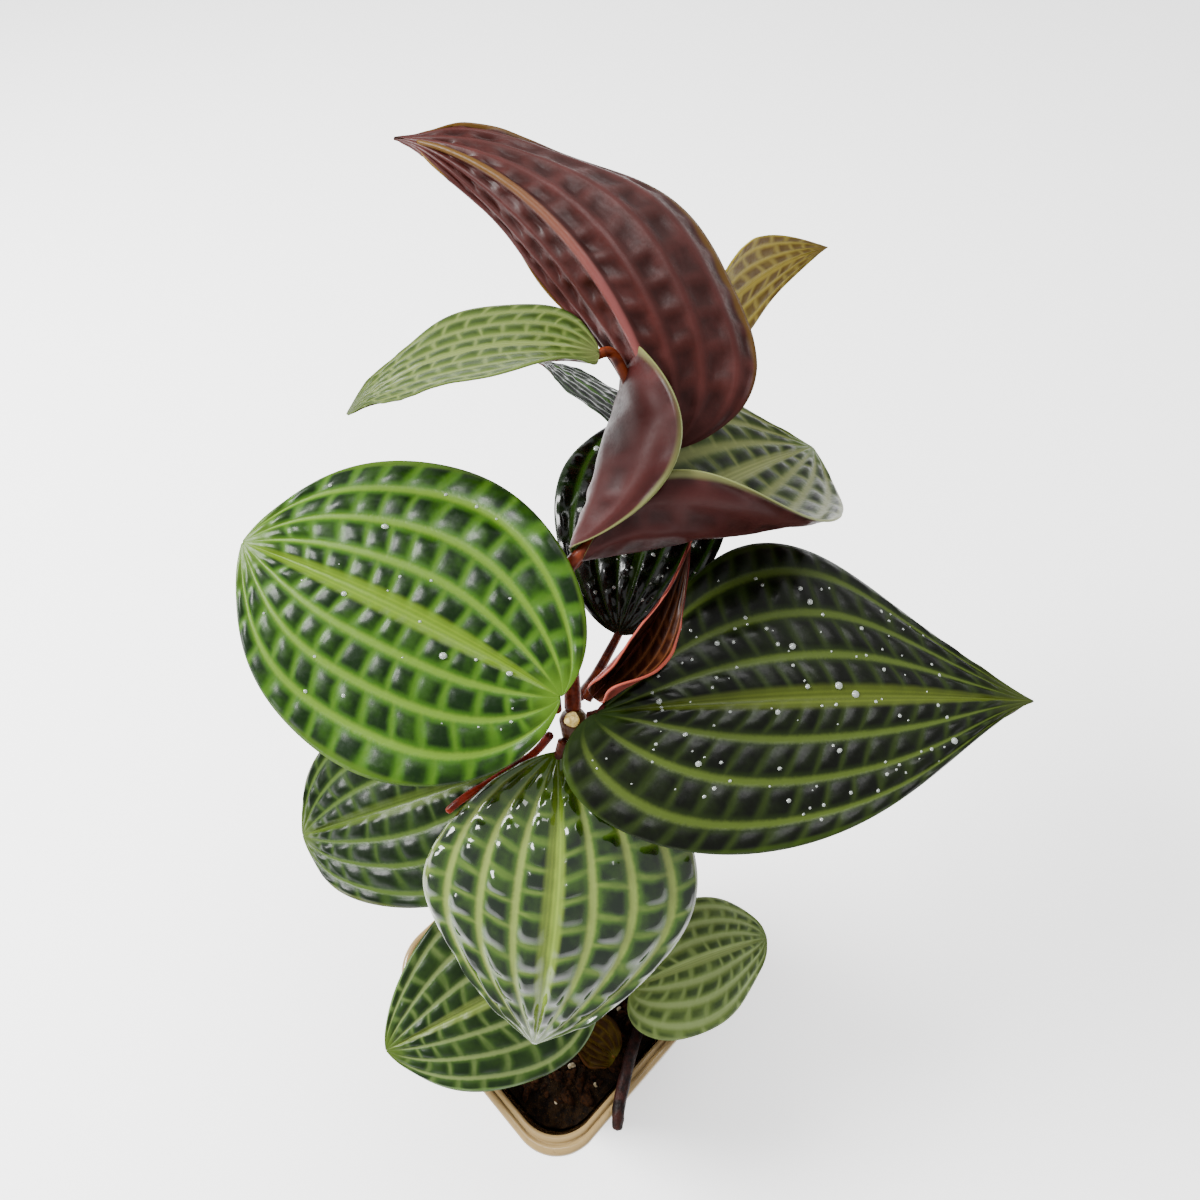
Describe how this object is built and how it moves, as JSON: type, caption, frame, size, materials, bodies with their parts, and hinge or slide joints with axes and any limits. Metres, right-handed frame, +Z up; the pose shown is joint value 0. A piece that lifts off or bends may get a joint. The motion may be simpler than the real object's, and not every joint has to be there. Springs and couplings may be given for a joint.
{
  "type": "potted seersucker plant",
  "caption": "A leafy potted plant with broad puckered leaves, pale parallel veins and maroon undersides, leaning out of a small square nursery pot.",
  "frame": {"origin": "middle of the pot's underside, on the face it stands on", "axes": "+Z up out of the pot; X and Y along the pot's square sides; the plant leans towards -X and +Y"},
  "size_m": [0.1608, 0.1899, 0.2291],
  "materials": {
    "pot_plastic": "gloss",
    "potting_mix": "matte",
    "stem_skin": "satin",
    "old_stem": "matte",
    "red_stem": "satin",
    "dry_tissue": "matte",
    "bright_leaf": "satin",
    "dark_leaf": "gloss",
    "wet_leaf": "gloss",
    "mid_leaf": "satin",
    "grey_leaf": "matte",
    "maroon_leaf": "satin",
    "pale_leaf": "satin",
    "olive_leaf": "satin"
  },
  "bodies": {
    "root": {"pot": "pot_plastic", "soil": "potting_mix", "main_stem": "stem_skin", "old_stalk": "old_stem", "red_stalk": "red_stem", "dry_sheath": "dry_tissue", "dead_leaf": "dry_tissue", "left_leaf": "bright_leaf", "right_leaf": "dark_leaf", "front_leaf": "wet_leaf", "lower_left_leaf": "mid_leaf", "bottom_left_leaf": "mid_leaf", "bottom_right_leaf": "grey_leaf", "rear_leaf": "dark_leaf", "young_leaf": "maroon_leaf", "top_leaf": "maroon_leaf", "small_left_leaf": "pale_leaf", "narrow_rear_leaf": "olive_leaf", "shaded_leaf": "dark_leaf", "funnel_leaf": "maroon_leaf"}
  },
  "joints": []
}
